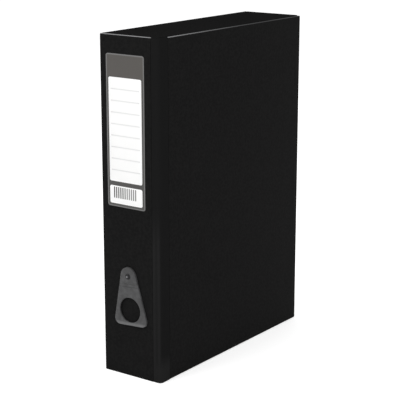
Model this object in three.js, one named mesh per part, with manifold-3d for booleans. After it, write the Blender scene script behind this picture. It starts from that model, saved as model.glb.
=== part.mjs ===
// Box file for foolscap papers: a tray with a hinged lid, a sprung paper clip inside,
// a press-button catch on the fore edge, and a label and a finger pull on the spine.
// Millimetres. X is the thickness (base board at -X, lid at +X), Y the depth (spine at -Y),
// Z the height. The file stands on its tail, and the origin is the middle of that face.

import * as THREE from 'three';
import { mergeVertices } from 'three/addons/utils/BufferGeometryUtils.js';
import Module from 'manifold-3d';

const wasm = await Module();
wasm.setup();

// Overall sizes
const HEIGHT = 365;
const DEPTH = 265;
const THICKNESS = 76;

// Boards, walls and linings
const BOARD = 2.4;
const WALL = 3.2;
const LINING = 0.4;
const SEAT = 0.3; // glue line between pieces that rest on each other
const EDGE_ROUND = 0.8;
const BOARD_CORNER = 1.5;
const LEAST_CORNER = 0.2;
const SPINE_WALL_SETBACK = 3; // the spine wall ends this far short of the other walls' lid side
const LID_END_GAP = 0.5; // the lid is this much shorter than the tray at head and tail
const LINING_MARGIN = 4; // turned-in cover left bare round the lid's lining

// Hinge of the lid
const SPINE_JOINT = 10; // width of the flexible strip on the spine
const LID_JOINT = 16; // width of the strip on the lid's side
const HINGE_ROUND = 6; // outer radius of the strip round the corner
const PIVOT_OUT = 0.4; // the lid's axis lies this far outside the lid's face
const PIVOT_BACK = 3.5; // and this far behind the lid board's edge

// Spine label
const LABEL_WIDTH = 49.4;
const LABEL_HEIGHT = 160;
const LABEL_TOP_MARGIN = 19.5;
const LABEL_SHEET = 0.3;
const LABEL_GAP = 0.15;
const LABEL_CORNER = 2.5;
const PRINT_SHEET = 0.15;
const PANEL_SIDE_MARGIN = 3.3;
const PANEL_CORNER = 2;
const HEADER_HEIGHT = 24;
const TITLE_HEIGHT = 109;
const BAND_HEIGHT = 4.7;
const CODE_HEIGHT = 19;

// Finger pull
const PULL_OFFSET = 2; // rivet to the right of the spine board's middle
const PULL_RIVET_Z = 112;
const PULL_TILT = THREE.MathUtils.degToRad(3.5);
const PULL_SHEET = 2.4;
const PULL_TOP_R = 10.3;
const PULL_WIDTH = 43.4;
const PULL_DROP = 54; // rivet to the lower edge
const PULL_CORNER_R = 7;
const PULL_HOLE_R = 13.5;
const PULL_HOLE_DROP = 37;
const PULL_SEAM_DROP = 10; // rivet to the bending line
const PULL_GROOVE_ANGLE = THREE.MathUtils.degToRad(40);
const PULL_WEB_GAP = 0.15; // each half keeps this off the bending line
const PULL_EDGE_ROUND = 0.6;

// Rivet of the finger pull
const PULL_SHANK_R = 1.6;
const PULL_HEAD_R = 3.1;
const PULL_HEAD_HEIGHT = 1.3;
const WASHER_R = 6;
const WASHER_SHEET = 0.8;
const HOLE_CLEARANCE = 0.3;

// Paper clip
const CLIP_Y = -72; // pivot from the middle of the depth
const CLIP_RISE = 5.9; // pivot above the clip's base plate
const CLIP_SHEET = 1.2;
const CLIP_PLATE_DEPTH = 26;
const CLIP_EAR_ROUND = 5.5;
const CLIP_PIN_R = 2;
const CLIP_PIN_HEAD = 1.5;
const CLIP_PIN_HEAD_R = 3;
const CLIP_WIRE_R = 1.5;
const CLIP_SPAN = 80; // between the middles of the two wire legs
const CLIP_REACH = 50; // pivot to the middle of the cross wire
const CLIP_BEND_R = 9;
const CLIP_SIDE_GAP = 0.6; // eye to ear
const BAR_LENGTH = 112;
const BAR_WIDTH = 15;
const BAR_SHEET = 1.4;
const BAR_CORNER = 4;
const SADDLE_LENGTH = 9;
const SADDLE_WALL = 1.2;
const SADDLE_SPACING = 50;
const TAB_LENGTH = 24;
const TAB_RISE = 9;
const TAB_ROOT = 4.2; // how far the tab's foot reaches into the bar
const TAB_LEAN = 1.68; // how far the tab's tip leans out beyond the bar's edge
const CLIP_RIVET_R = 1.5;
const CLIP_RIVET_HEAD_R = 3;
const CLIP_RIVET_SPACING = 46;
const RIVET_HEAD_HEIGHT = 1;
const BLIND_DEPTH = 1.4; // how deep a shank sits in a board, hidden from outside
const SPRING_WIRE_R = 0.8;
const SPRING_TURNS = 5;
const SPRING_PITCH = 2;
const SPRING_FOOT = 9;

// Catch on the fore edge
const CATCH_X = 16;
const BUTTON_R = 6;
const BUTTON_PROUD = 2.9;
const BUTTON_TRAVEL = 2.5;
const BUTTON_GAP = 0.4;
const NECK_R = 2;
const HEAD_R = 4;
const HEAD_THICK = 2.2;
const BEZEL_SHEET = 0.8;
const BEZEL_LENGTH = 34;
const BEZEL_WIDTH = 17;
const CATCH_RIVET_R = 1.2;
const CATCH_RIVET_HEAD_R = 2.2;
const CATCH_RIVET_SPACING = 27;
const HOUSING_SHEET = 1;
const HOUSING_WIDTH = 21;
const HOUSING_DEPTH = 17;
const HOUSING_REACH = 12; // catch axis to the housing's open side
const FLANGE = 5.5;
const CATCH_SPRING_R = 2.6;
const CATCH_WIRE_R = 0.4;
const CATCH_SPRING_TURNS = 4;
const STRIKE_SHEET = 1.2;
const STRIKE_WIDTH = 15;
const STRIKE_FOOT = 17;
const STRIKE_BACK = 6.7; // fore-edge wall to the tongue
const KEYHOLE_R = 4.4;
const SLOT_WIDTH = 4.8;
const TONGUE_TIP = 7; // catch axis to the tongue's tip
const STRIKE_BEND_R = 1.5;
const STRIKE_RIVET_SPACING = 8;

// How finely curves are divided, and how far a cutter stands out of what it cuts
const HOLE_SIDES = 16;
const BUTTON_HOLE_SIDES = 32;
const PULL_HOLE_SIDES = 40;
const ROD_SIDES = 24;
const TURNED_SIDES = 20;
const BUTTON_SIDES = 24;
const PIN_SIDES = 16;
const DOME_STEPS = 4;
const WIRE_SIDES = 8;
const SPRING_SIDES = 6;
const TURN_STEPS = 14;
const BAIL_STEPS = 60;
const EYE_STEPS = 20;
const CUTTER_PROUD = 1;

// Places that the pieces share
const BACK_X = -THICKNESS / 2;
const LID_X = THICKNESS / 2;
const SPINE_Y = -DEPTH / 2;
const FORE_Y = DEPTH / 2;
const MIDDLE_Z = HEIGHT / 2;
const BASE_INSIDE_X = BACK_X + BOARD;
const LID_INSIDE_X = LID_X - BOARD;
const LID_LINING_X = LID_INSIDE_X - SEAT - LINING;
const WALL_BACK_X = BASE_INSIDE_X + SEAT;
const WALL_LID_X = LID_LINING_X - SEAT;
const WALL_SPINE_Y = SPINE_Y + BOARD + SEAT;
const FORE_WALL_Y = FORE_Y - WALL;
const SPINE_END_X = LID_X - SPINE_JOINT;
const LID_START_Y = SPINE_Y + LID_JOINT;
const BASE_LINING_X = BASE_INSIDE_X + SEAT;
const LINING_FACE_X = BASE_LINING_X + LINING;

// Finishes
const COVER = { color: 0x1c1c1c, roughness: 0.55, metalness: 0 };
const CLOTH = { color: 0x202020, roughness: 0.7, metalness: 0 };
const PAPER_GREY = { color: 0x6a6866, roughness: 0.6, metalness: 0 };
const PAPER_WHITE = { color: 0xf4f4f2, roughness: 0.7, metalness: 0 };
const LINING_PAPER = { color: 0xb9b7b2, roughness: 0.85, metalness: 0 };
const GREY_PLASTIC = { color: 0x4d4d4d, roughness: 0.45, metalness: 0 };
const STEEL = { color: 0xc2c4c6, roughness: 0.3, metalness: 1 };
const SPRING_STEEL = { color: 0x9b9da0, roughness: 0.35, metalness: 1 };

// Closed meshes as solids, for the few pieces that are cut or joined
function toSolid(geometry) {
  const bare = geometry.clone();
  bare.deleteAttribute('normal');
  bare.deleteAttribute('uv');
  const merged = mergeVertices(bare);
  const vertProperties = merged.getAttribute('position').array;
  const triVerts = Uint32Array.from(merged.getIndex().array);
  return new wasm.Manifold(new wasm.Mesh({ numProp: 3, vertProperties, triVerts }));
}

function toGeometry(solid) {
  const { vertProperties, triVerts } = solid.getMesh();
  const geometry = new THREE.BufferGeometry();
  geometry.setAttribute('position', new THREE.BufferAttribute(vertProperties, 3));
  geometry.setIndex(new THREE.BufferAttribute(triVerts, 1));
  return geometry;
}

function cut(body, ...tools) {
  const solid = tools.reduce((left, tool) => left.subtract(toSolid(tool)), toSolid(body));
  return toGeometry(solid);
}

function join(...pieces) {
  const [first, ...rest] = pieces.map(toSolid);
  return toGeometry(rest.reduce((whole, piece) => whole.add(piece), first));
}

function common(one, other) {
  return toGeometry(toSolid(one).intersect(toSolid(other)));
}

// Basic shapes
function roundedRectangle(width, height, radius) {
  const x = width / 2 - radius;
  const y = height / 2 - radius;
  const shape = new THREE.Shape();
  shape.absarc(x, y, radius, 0, Math.PI / 2, false);
  shape.absarc(-x, y, radius, Math.PI / 2, Math.PI, false);
  shape.absarc(-x, -y, radius, Math.PI, 1.5 * Math.PI, false);
  shape.absarc(x, -y, radius, 1.5 * Math.PI, 2 * Math.PI, false);
  return shape;
}

function polygon(points) {
  return new THREE.Shape(points.map(([x, y]) => new THREE.Vector2(x, y)));
}

function roundHole(x, y, radius, sides = HOLE_SIDES) {
  const points = Array.from({ length: sides }, (_, index) => {
    const angle = (-2 * Math.PI * index) / sides;
    return new THREE.Vector2(x + radius * Math.cos(angle), y + radius * Math.sin(angle));
  });
  return new THREE.Path(points);
}

function extrude(shape, depth, curveSegments = 2) {
  return new THREE.ExtrudeGeometry(shape, { depth, curveSegments, bevelEnabled: false });
}

// A flat panel, width by height, with rounded corners and edges: centred, and thick from 0 up
function panel(width, height, thickness, corner, edge, holes = []) {
  const shape = roundedRectangle(width - 2 * edge, height - 2 * edge, Math.max(corner - edge, LEAST_CORNER));
  shape.holes.push(...holes);
  const geometry = new THREE.ExtrudeGeometry(shape, {
    depth: thickness - 2 * edge,
    bevelThickness: edge,
    bevelSize: edge,
    bevelSegments: 2,
    curveSegments: 2,
  });
  geometry.translate(0, 0, edge);
  return geometry;
}

// Turns what is drawn flat in XY and thick along Z. Facing X it is drawn in YZ, and facing Y in
// XZ, with its thickness from the given face towards -Y.
const FACING_X = new THREE.Matrix4().makeBasis(
  new THREE.Vector3(0, 1, 0), new THREE.Vector3(0, 0, 1), new THREE.Vector3(1, 0, 0));
const FACING_Y = new THREE.Matrix4().makeBasis(
  new THREE.Vector3(1, 0, 0), new THREE.Vector3(0, 0, 1), new THREE.Vector3(0, -1, 0));

function facingX(geometry) {
  return geometry.applyMatrix4(FACING_X);
}

function facingY(geometry) {
  return geometry.applyMatrix4(FACING_Y);
}

function rodAlongX(radius, length, segments = HOLE_SIDES) {
  return new THREE.CylinderGeometry(radius, radius, length, segments).rotateZ(-Math.PI / 2);
}

function rodAlongY(radius, length, segments = ROD_SIDES) {
  return new THREE.CylinderGeometry(radius, radius, length, segments);
}

function rodAlongZ(radius, length, segments = HOLE_SIDES) {
  return new THREE.CylinderGeometry(radius, radius, length, segments).rotateX(Math.PI / 2);
}

function turned(profile, segments = TURNED_SIDES) {
  return new THREE.LatheGeometry(profile.map(([radius, y]) => new THREE.Vector2(radius, y)), segments);
}

// A domed rivet along +Y: the head's flat underside is at 0, the shank reaches down from it
function domedRivet(headRadius, headHeight, shankRadius, shankLength, tail = []) {
  const dome = [];
  for (let step = 0; step <= DOME_STEPS; step += 1) {
    const angle = (step / DOME_STEPS) * Math.PI / 2;
    dome.push([headRadius * Math.cos(angle), headHeight * Math.sin(angle)]);
  }
  dome[DOME_STEPS][0] = 0;
  const foot = tail.length ? tail : [[0, -shankLength], [shankRadius, -shankLength]];
  return turned([...foot, [shankRadius, 0], ...dome]);
}

function wire(curve, radius, steps, sides = WIRE_SIDES) {
  const section = new THREE.Shape();
  section.absarc(0, 0, radius, 0, 2 * Math.PI, false);
  return new THREE.ExtrudeGeometry(section, { steps, extrudePath: curve, curveSegments: sides / 2 });
}

function mesh(name, geometry, finish, x = 0, y = 0, z = 0) {
  if (!geometry.getAttribute('normal')) {
    geometry.computeVertexNormals();
  }
  const piece = new THREE.Mesh(geometry, new THREE.MeshStandardMaterial(finish));
  piece.name = name;
  piece.position.set(x, y, z);
  return piece;
}

// Tray: base board, spine board and four walls
const clipPlateX = LINING_FACE_X + SEAT;
const clipPlateFaceX = clipPlateX + CLIP_SHEET;
const clipX = clipPlateFaceX + CLIP_RISE;
const clipRivetPlaces = [-1, 1].map((side) => ({ y: CLIP_Y, z: MIDDLE_Z + side * CLIP_RIVET_SPACING / 2 }));
const pullX = (BACK_X + SPINE_END_X) / 2 + PULL_OFFSET;
const pullHole = PULL_SHANK_R + HOLE_CLEARANCE;

function baseBoard() {
  const startY = SPINE_Y + BOARD + SEAT;
  const middleY = (startY + FORE_Y) / 2;
  const sheet = facingX(panel(FORE_Y - startY, HEIGHT, BOARD, BOARD_CORNER, EDGE_ROUND));
  const bores = clipRivetPlaces.map(({ y, z }) => {
    const bore = rodAlongX(CLIP_RIVET_R + HOLE_CLEARANCE, 2 * (BLIND_DEPTH + HOLE_CLEARANCE));
    return bore.translate(BOARD, y - middleY, z - MIDDLE_Z);
  });
  return mesh('base_board', cut(sheet, ...bores), COVER, BACK_X, middleY, MIDDLE_Z);
}

function spineBoard() {
  const middleX = (BACK_X + SPINE_END_X) / 2;
  const hole = roundHole(pullX - middleX, PULL_RIVET_Z - MIDDLE_Z, pullHole + EDGE_ROUND);
  const sheet = facingY(panel(SPINE_END_X - BACK_X, HEIGHT, BOARD, BOARD_CORNER, EDGE_ROUND, [hole]));
  return mesh('spine_board', sheet, COVER, middleX, SPINE_Y + BOARD, MIDDLE_Z);
}

function spineWall() {
  const lidSideX = WALL_LID_X - SPINE_WALL_SETBACK;
  const middleX = (WALL_BACK_X + lidSideX) / 2;
  const shape = roundedRectangle(lidSideX - WALL_BACK_X, HEIGHT - 2 * (WALL + SEAT), EDGE_ROUND);
  shape.holes.push(roundHole(pullX - middleX, PULL_RIVET_Z - MIDDLE_Z, pullHole));
  return mesh('spine_wall', facingY(extrude(shape, WALL)), COVER, middleX, WALL_SPINE_Y + WALL, MIDDLE_Z);
}

// Head and tail walls end short of the fore-edge wall and are round under the hinge strip
function endWall(name, z) {
  const round = HINGE_ROUND - BOARD - SEAT;
  const shape = new THREE.Shape();
  shape.moveTo(WALL_BACK_X, WALL_SPINE_Y);
  shape.lineTo(WALL_LID_X - round, WALL_SPINE_Y);
  shape.absarc(WALL_LID_X - round, WALL_SPINE_Y + round, round, -Math.PI / 2, 0, false);
  shape.lineTo(WALL_LID_X, FORE_WALL_Y - SEAT);
  shape.lineTo(WALL_BACK_X, FORE_WALL_Y - SEAT);
  return mesh(name, extrude(shape, WALL, 4), COVER, 0, 0, z);
}

function foreEdgeWall() {
  const middleX = (WALL_BACK_X + WALL_LID_X) / 2;
  const width = WALL_LID_X - WALL_BACK_X;
  const holes = [roundHole(CATCH_X - middleX, 0, BUTTON_R + BUTTON_GAP + EDGE_ROUND, BUTTON_HOLE_SIDES)];
  for (const side of [-1, 1]) {
    const z = side * CATCH_RIVET_SPACING / 2;
    holes.push(roundHole(CATCH_X - middleX, z, CATCH_RIVET_R + HOLE_CLEARANCE + EDGE_ROUND));
  }
  const sheet = facingY(panel(width, HEIGHT, WALL, BOARD_CORNER, EDGE_ROUND, holes));
  return mesh('fore_edge_wall', sheet, COVER, middleX, FORE_Y, MIDDLE_Z);
}

function baseLining() {
  const startY = WALL_SPINE_Y + WALL + SEAT;
  const endY = FORE_WALL_Y - SEAT;
  const height = HEIGHT - 2 * (WALL + SEAT);
  const shape = roundedRectangle(endY - startY, height, LINING);
  for (const { y, z } of clipRivetPlaces) {
    const hole = roundHole(y - (startY + endY) / 2, z - MIDDLE_Z, CLIP_RIVET_R + HOLE_CLEARANCE);
    shape.holes.push(hole);
  }
  const sheet = facingX(extrude(shape, LINING));
  return mesh('base_lining', sheet, LINING_PAPER, BASE_LINING_X, (startY + endY) / 2, MIDDLE_Z);
}

// Flexible strip from the spine board round the corner to the lid board
function hingeStrip() {
  const centreX = LID_X - HINGE_ROUND;
  const centreY = SPINE_Y + HINGE_ROUND;
  const shape = new THREE.Shape();
  shape.moveTo(SPINE_END_X + SEAT, SPINE_Y);
  shape.absarc(centreX, centreY, HINGE_ROUND, -Math.PI / 2, 0, false);
  shape.lineTo(LID_X, LID_START_Y - SEAT);
  shape.lineTo(LID_INSIDE_X, LID_START_Y - SEAT);
  shape.absarc(centreX, centreY, HINGE_ROUND - BOARD, 0, -Math.PI / 2, true);
  shape.lineTo(SPINE_END_X + SEAT, SPINE_Y + BOARD);
  return mesh('hinge_strip', extrude(shape, HEIGHT - 2 * LID_END_GAP, 5), CLOTH, 0, 0, LID_END_GAP);
}

// Spine label with its printed writing panel and lower panel
const labelX = (BACK_X + SPINE_END_X) / 2;
const labelTopZ = HEIGHT - LABEL_TOP_MARGIN;
const labelFaceY = SPINE_Y - LABEL_GAP - LABEL_SHEET;

function labelSheet(name, width, height, radius, thickness, faceY, topZ, finish) {
  const sheet = facingY(extrude(roundedRectangle(width, height, radius), thickness, 4));
  return mesh(name, sheet, finish, labelX, faceY + thickness, topZ - height / 2);
}

function spineLabel() {
  const group = new THREE.Group();
  const panelWidth = LABEL_WIDTH - 2 * PANEL_SIDE_MARGIN;
  const panelFaceY = labelFaceY - LABEL_GAP - PRINT_SHEET;
  const titleTopZ = labelTopZ - HEADER_HEIGHT;
  const codeTopZ = titleTopZ - TITLE_HEIGHT - BAND_HEIGHT;
  group.add(labelSheet('spine_label', LABEL_WIDTH, LABEL_HEIGHT, LABEL_CORNER, LABEL_SHEET,
    labelFaceY, labelTopZ, PAPER_GREY));
  group.add(labelSheet('label_title_panel', panelWidth, TITLE_HEIGHT, PANEL_CORNER, PRINT_SHEET,
    panelFaceY, titleTopZ, PAPER_WHITE));
  group.add(labelSheet('label_code_panel', panelWidth, CODE_HEIGHT, PANEL_CORNER, PRINT_SHEET,
    panelFaceY, codeTopZ, PAPER_WHITE));
  return group;
}

// Finger pull: one moulding in two halves that bend at a thin web behind a V groove.
// It is drawn about its rivet, facing +Z, and turned to face out of the spine.
function pullPlate() {
  const inner = PULL_EDGE_ROUND;
  const topR = PULL_TOP_R - inner;
  const cornerR = PULL_CORNER_R - inner;
  const cornerX = PULL_WIDTH / 2 - PULL_CORNER_R;
  const cornerY = PULL_CORNER_R - PULL_DROP;
  const slope = Math.atan2(cornerY, cornerX) + Math.PI / 2
    - Math.asin((PULL_TOP_R - PULL_CORNER_R) / Math.hypot(cornerX, cornerY));
  const shape = new THREE.Shape();
  shape.absarc(0, 0, topR, slope, Math.PI - slope, false);
  shape.absarc(-cornerX, cornerY, cornerR, Math.PI - slope, 1.5 * Math.PI, false);
  shape.absarc(cornerX, cornerY, cornerR, -Math.PI / 2, slope, false);
  shape.holes.push(roundHole(0, -PULL_HOLE_DROP, PULL_HOLE_R + inner, PULL_HOLE_SIDES));
  shape.holes.push(roundHole(0, 0, pullHole + inner));
  const geometry = new THREE.ExtrudeGeometry(shape, {
    depth: PULL_SHEET - 2 * inner,
    bevelThickness: inner,
    bevelSize: inner,
    bevelSegments: 2,
    curveSegments: 7,
  });
  return geometry.translate(0, 0, inner);
}

// Everything on one side of the groove: side 1 is below the bending line and -1 above it
function beyondGroove(side) {
  const reach = 2 * PULL_DROP;
  const rise = (PULL_SHEET + CUTTER_PROUD) * Math.tan(PULL_GROOVE_ANGLE);
  const backOff = CUTTER_PROUD * Math.tan(PULL_GROOVE_ANGLE);
  const profile = [
    [-CUTTER_PROUD, -side * (PULL_WEB_GAP - backOff)],
    [PULL_SHEET + CUTTER_PROUD, -side * (PULL_WEB_GAP + rise)],
    [PULL_SHEET + CUTTER_PROUD, side * reach],
    [-CUTTER_PROUD, side * reach],
  ].map(([depth, height]) => [depth, height - PULL_SEAM_DROP]);
  const ordered = side > 0 ? profile : profile.reverse();
  const prism = extrude(polygon(ordered), 2 * PULL_WIDTH);
  prism.applyMatrix4(new THREE.Matrix4().makeBasis(
    new THREE.Vector3(0, 0, 1), new THREE.Vector3(0, 1, 0), new THREE.Vector3(-1, 0, 0)));
  return prism.translate(PULL_WIDTH, 0, 0);
}

function fingerPull() {
  const group = new THREE.Group();
  group.position.set(pullX, SPINE_Y - SEAT, PULL_RIVET_Z);
  group.rotation.y = -PULL_TILT;
  const anchor = facingY(cut(pullPlate(), beyondGroove(-1)));
  const ring = facingY(cut(pullPlate(), beyondGroove(1)));
  group.add(mesh('pull_anchor', anchor, GREY_PLASTIC));
  group.add(mesh('finger_pull', ring, GREY_PLASTIC));
  return group;
}

// The pull's rivet goes through the anchor, the spine board and the spine wall to a washer
function pullFixings() {
  const group = new THREE.Group();
  const headY = SPINE_Y - 2 * SEAT - PULL_SHEET;
  const washerY = WALL_SPINE_Y + WALL + SEAT;
  const clinchY = washerY + WASHER_SHEET + SEAT;
  const clinch = [
    [0, headY - clinchY - PULL_HEAD_HEIGHT],
    [PULL_HEAD_R, headY - clinchY - PULL_HEAD_HEIGHT],
    [PULL_HEAD_R, headY - clinchY],
    [PULL_SHANK_R, headY - clinchY],
  ];
  const rivet = domedRivet(PULL_HEAD_R, PULL_HEAD_HEIGHT, PULL_SHANK_R, 0, clinch).rotateX(Math.PI);
  group.add(mesh('pull_rivet', rivet, STEEL, pullX, headY, PULL_RIVET_Z));
  const ring = new THREE.Shape();
  ring.absarc(0, 0, WASHER_R, 0, 2 * Math.PI, false);
  ring.holes.push(roundHole(0, 0, pullHole));
  const washer = facingY(extrude(ring, WASHER_SHEET, 10));
  group.add(mesh('pull_washer', washer, STEEL, pullX, washerY + WASHER_SHEET, PULL_RIVET_Z));
  return group;
}

// Paper clip: a plate with two ears, a pin, a wire bail with a pressing bar and two springs
const earMiddle = CLIP_SPAN / 2 + CLIP_WIRE_R + CLIP_SIDE_GAP + CLIP_SHEET / 2;
const eyeR = CLIP_PIN_R + HOLE_CLEARANCE + CLIP_WIRE_R;
const armX = -eyeR; // the wire's middle below the pin

function clipBasePlate() {
  const outer = earMiddle + CLIP_SHEET / 2;
  const inner = outer - CLIP_SHEET;
  const top = CLIP_SHEET + CLIP_RISE + CLIP_EAR_ROUND;
  const section = polygon([
    [-outer, 0], [outer, 0], [outer, top], [inner, top],
    [inner, CLIP_SHEET], [-inner, CLIP_SHEET], [-inner, top], [-outer, top],
  ]);
  const channel = extrude(section, CLIP_PLATE_DEPTH);
  channel.translate(0, 0, -CLIP_PLATE_DEPTH / 2);
  channel.applyMatrix4(new THREE.Matrix4().makeBasis(
    new THREE.Vector3(0, 0, 1), new THREE.Vector3(1, 0, 0), new THREE.Vector3(0, 1, 0)));
  const outline = new THREE.Shape();
  const pinX = CLIP_SHEET + CLIP_RISE;
  outline.moveTo(0, -CLIP_PLATE_DEPTH / 2);
  outline.lineTo(CLIP_SHEET, -CLIP_PLATE_DEPTH / 2);
  outline.absarc(pinX, 0, CLIP_EAR_ROUND, -Math.PI / 2, Math.PI / 2, false);
  outline.lineTo(CLIP_SHEET, CLIP_PLATE_DEPTH / 2);
  outline.lineTo(0, CLIP_PLATE_DEPTH / 2);
  const block = extrude(outline, 4 * outer, 6).translate(0, 0, -2 * outer);
  const bore = rodAlongZ(CLIP_PIN_R + HOLE_CLEARANCE, 4 * outer).translate(pinX, 0, 0);
  const rivetHoles = clipRivetPlaces.map(({ z }) => (
    rodAlongX(CLIP_RIVET_R + HOLE_CLEARANCE, 4 * CLIP_SHEET).translate(0, 0, z - MIDDLE_Z)));
  return mesh('clip_base_plate', cut(common(channel, block), bore, ...rivetHoles), STEEL,
    clipPlateX, CLIP_Y, MIDDLE_Z);
}

function clipPin() {
  const half = earMiddle + CLIP_SHEET / 2 + SEAT;
  const end = half + CLIP_PIN_HEAD;
  const profile = [
    [0, -end], [CLIP_PIN_HEAD_R, -end], [CLIP_PIN_HEAD_R, -half], [CLIP_PIN_R, -half],
    [CLIP_PIN_R, half], [CLIP_PIN_HEAD_R, half], [CLIP_PIN_HEAD_R, end], [0, end],
  ];
  const pin = turned(profile, PIN_SIDES).rotateX(Math.PI / 2);
  return mesh('clip_pivot_pin', pin, STEEL, clipX, CLIP_Y, MIDDLE_Z);
}

// The bail is drawn about the pin: legs along +Y, the cross wire along Z
function bailCurve() {
  const half = CLIP_SPAN / 2;
  const path = new THREE.CurvePath();
  const corner = (y, z) => new THREE.Vector3(armX, y, z);
  path.add(new THREE.LineCurve3(corner(0, half), corner(CLIP_REACH - CLIP_BEND_R, half)));
  path.add(new THREE.QuadraticBezierCurve3(corner(CLIP_REACH - CLIP_BEND_R, half),
    corner(CLIP_REACH, half), corner(CLIP_REACH, half - CLIP_BEND_R)));
  path.add(new THREE.LineCurve3(corner(CLIP_REACH, half - CLIP_BEND_R),
    corner(CLIP_REACH, CLIP_BEND_R - half)));
  path.add(new THREE.QuadraticBezierCurve3(corner(CLIP_REACH, CLIP_BEND_R - half),
    corner(CLIP_REACH, -half), corner(CLIP_REACH - CLIP_BEND_R, -half)));
  path.add(new THREE.LineCurve3(corner(CLIP_REACH - CLIP_BEND_R, -half), corner(0, -half)));
  return path;
}

function clipArm() {
  const bail = wire(bailCurve(), CLIP_WIRE_R, BAIL_STEPS);
  const eyes = [-1, 1].map((side) => (
    new THREE.TorusGeometry(eyeR, CLIP_WIRE_R, WIRE_SIDES, EYE_STEPS)
      .translate(0, 0, side * CLIP_SPAN / 2)));
  return mesh('clip_arm', join(bail, ...eyes), STEEL, clipX, CLIP_Y, MIDDLE_Z);
}

// The bar lies under the cross wire, which runs through two saddles, and has a thumb tab
function clipPressBar() {
  const wireX = clipX + armX;
  const underX = LINING_FACE_X + SEAT - wireX;
  const sheet = facingX(extrude(roundedRectangle(BAR_WIDTH, BAR_LENGTH, BAR_CORNER), BAR_SHEET, 4));
  sheet.translate(underX, 0, 0);
  const bore = CLIP_WIRE_R + HOLE_CLEARANCE;
  const saddleR = bore + SADDLE_WALL;
  const saddleShape = new THREE.Shape();
  saddleShape.moveTo(underX + BAR_SHEET / 2, -saddleR);
  saddleShape.absarc(0, 0, saddleR, -Math.PI / 2, Math.PI / 2, false);
  saddleShape.lineTo(underX + BAR_SHEET / 2, saddleR);
  const saddles = [-1, 1].map((side) => (
    extrude(saddleShape, SADDLE_LENGTH, 8)
      .translate(0, 0, side * SADDLE_SPACING / 2 - SADDLE_LENGTH / 2)));
  const tabShape = polygon([
    [underX, BAR_WIDTH / 2 - TAB_ROOT],
    [underX, BAR_WIDTH / 2 + BAR_SHEET],
    [underX + TAB_RISE, BAR_WIDTH / 2 + BAR_SHEET + TAB_LEAN],
    [underX + TAB_RISE, BAR_WIDTH / 2 + TAB_LEAN],
    [underX + BAR_SHEET, BAR_WIDTH / 2],
    [underX + BAR_SHEET, BAR_WIDTH / 2 - TAB_ROOT],
  ]);
  const tab = extrude(tabShape, TAB_LENGTH).translate(0, 0, -TAB_LENGTH / 2);
  const groove = rodAlongZ(bore, 2 * BAR_LENGTH);
  return mesh('clip_press_bar', cut(join(sheet, ...saddles, tab), groove), STEEL,
    wireX, CLIP_Y + CLIP_REACH, MIDDLE_Z);
}

function clipRivets() {
  return clipRivetPlaces.map(({ y, z }, index) => {
    const headX = clipPlateFaceX + SEAT;
    const shank = headX - BASE_INSIDE_X + BLIND_DEPTH;
    const rivet = domedRivet(CLIP_RIVET_HEAD_R, RIVET_HEAD_HEIGHT, CLIP_RIVET_R, shank);
    return mesh(`clip_rivet_${index + 1}`, rivet.rotateZ(-Math.PI / 2), STEEL, headX, y, z);
  });
}

// A torsion spring round the pin: a foot on the plate, the coil, and a finger over the bail
class SpringCurve extends THREE.Curve {
  constructor(radius, turns, pitch) {
    super();
    this.radius = radius;
    this.turns = turns;
    this.pitch = pitch;
  }

  getPoint(t, target = new THREE.Vector3()) {
    const angle = t * this.turns * 2 * Math.PI;
    return target.set(-this.radius * Math.cos(angle), this.radius * Math.sin(angle),
      t * this.turns * this.pitch);
  }
}

function clipSpring(name, side) {
  const radius = CLIP_PIN_R + HOLE_CLEARANCE + SPRING_WIRE_R;
  const length = SPRING_TURNS * SPRING_PITCH;
  const curve = new SpringCurve(radius, SPRING_TURNS, SPRING_PITCH);
  const coil = wire(curve, SPRING_WIRE_R, SPRING_TURNS * TURN_STEPS, SPRING_SIDES);
  const foot = rodAlongY(SPRING_WIRE_R, SPRING_FOOT, WIRE_SIDES);
  foot.translate(-radius, -SPRING_FOOT / 2, 0);
  const finger = rodAlongY(SPRING_WIRE_R, SPRING_FOOT, WIRE_SIDES);
  finger.translate(-radius, SPRING_FOOT / 2, length);
  const spring = join(coil, foot, finger);
  const eyeFace = CLIP_SPAN / 2 - CLIP_WIRE_R - CLIP_SIDE_GAP;
  const piece = mesh(name, spring, SPRING_STEEL, clipX, CLIP_Y, MIDDLE_Z);
  const start = eyeFace - length - SPRING_WIRE_R;
  if (side > 0) {
    piece.position.z += start;
  } else {
    piece.rotation.x = Math.PI;
    piece.position.z -= start;
  }
  return piece;
}

// Catch: a button on a neck whose head holds the lid's tongue in a keyhole until it is pressed
const housingX = CATCH_X + HOUSING_REACH;
const tongueFaceY = FORE_WALL_Y - STRIKE_BACK;
const headMiddleY = tongueFaceY - STRIKE_SHEET / 2;
const buttonTopY = FORE_Y + BUTTON_PROUD;

function catchButton() {
  const headBack = headMiddleY - HEAD_THICK / 2 - buttonTopY;
  const headFront = headMiddleY + HEAD_THICK / 2 - buttonTopY;
  const capBack = tongueFaceY + BUTTON_TRAVEL + 2 * SEAT - buttonTopY;
  const profile = [
    [0, headBack], [HEAD_R, headBack], [HEAD_R, headFront], [NECK_R, headFront],
    [NECK_R, capBack], [BUTTON_R, capBack], [BUTTON_R, -EDGE_ROUND],
    [BUTTON_R - EDGE_ROUND / 3, -EDGE_ROUND / 3], [BUTTON_R - EDGE_ROUND, 0], [0, 0],
  ];
  return mesh('catch_button', turned(profile, BUTTON_SIDES), STEEL, CATCH_X, buttonTopY, MIDDLE_Z);
}

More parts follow.
